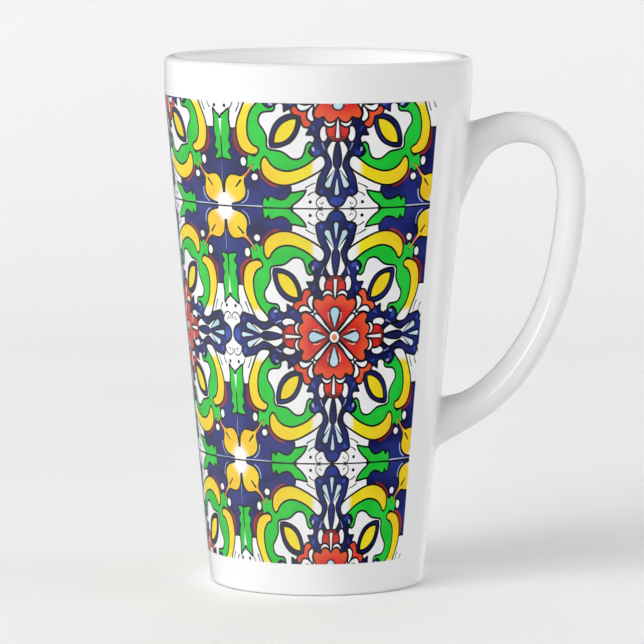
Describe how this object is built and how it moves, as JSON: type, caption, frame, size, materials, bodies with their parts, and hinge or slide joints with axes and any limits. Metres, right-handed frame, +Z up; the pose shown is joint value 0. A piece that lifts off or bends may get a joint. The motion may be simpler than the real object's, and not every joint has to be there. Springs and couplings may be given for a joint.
{
  "type": "latte mug",
  "caption": "Tall conical ceramic latte mug with a long strap handle, a rounded lip, a foot ring and a folk-tile printed wrap.",
  "frame": {"origin": "on the cup's axis, at the plane of the foot ring that the mug stands on", "axes": "+Z up along the cup's axis, +X towards the handle, the XZ plane halves the handle"},
  "size_m": [0.1201, 0.088, 0.15],
  "materials": {
    "white_glaze": "gloss",
    "joint_slip": "gloss",
    "print_film": "gloss"
  },
  "bodies": {
    "root": {"mug_body": "white_glaze", "handle": "white_glaze", "upper_slip_joint": "joint_slip", "lower_slip_joint": "joint_slip", "printed_wrap": "print_film"}
  },
  "joints": []
}
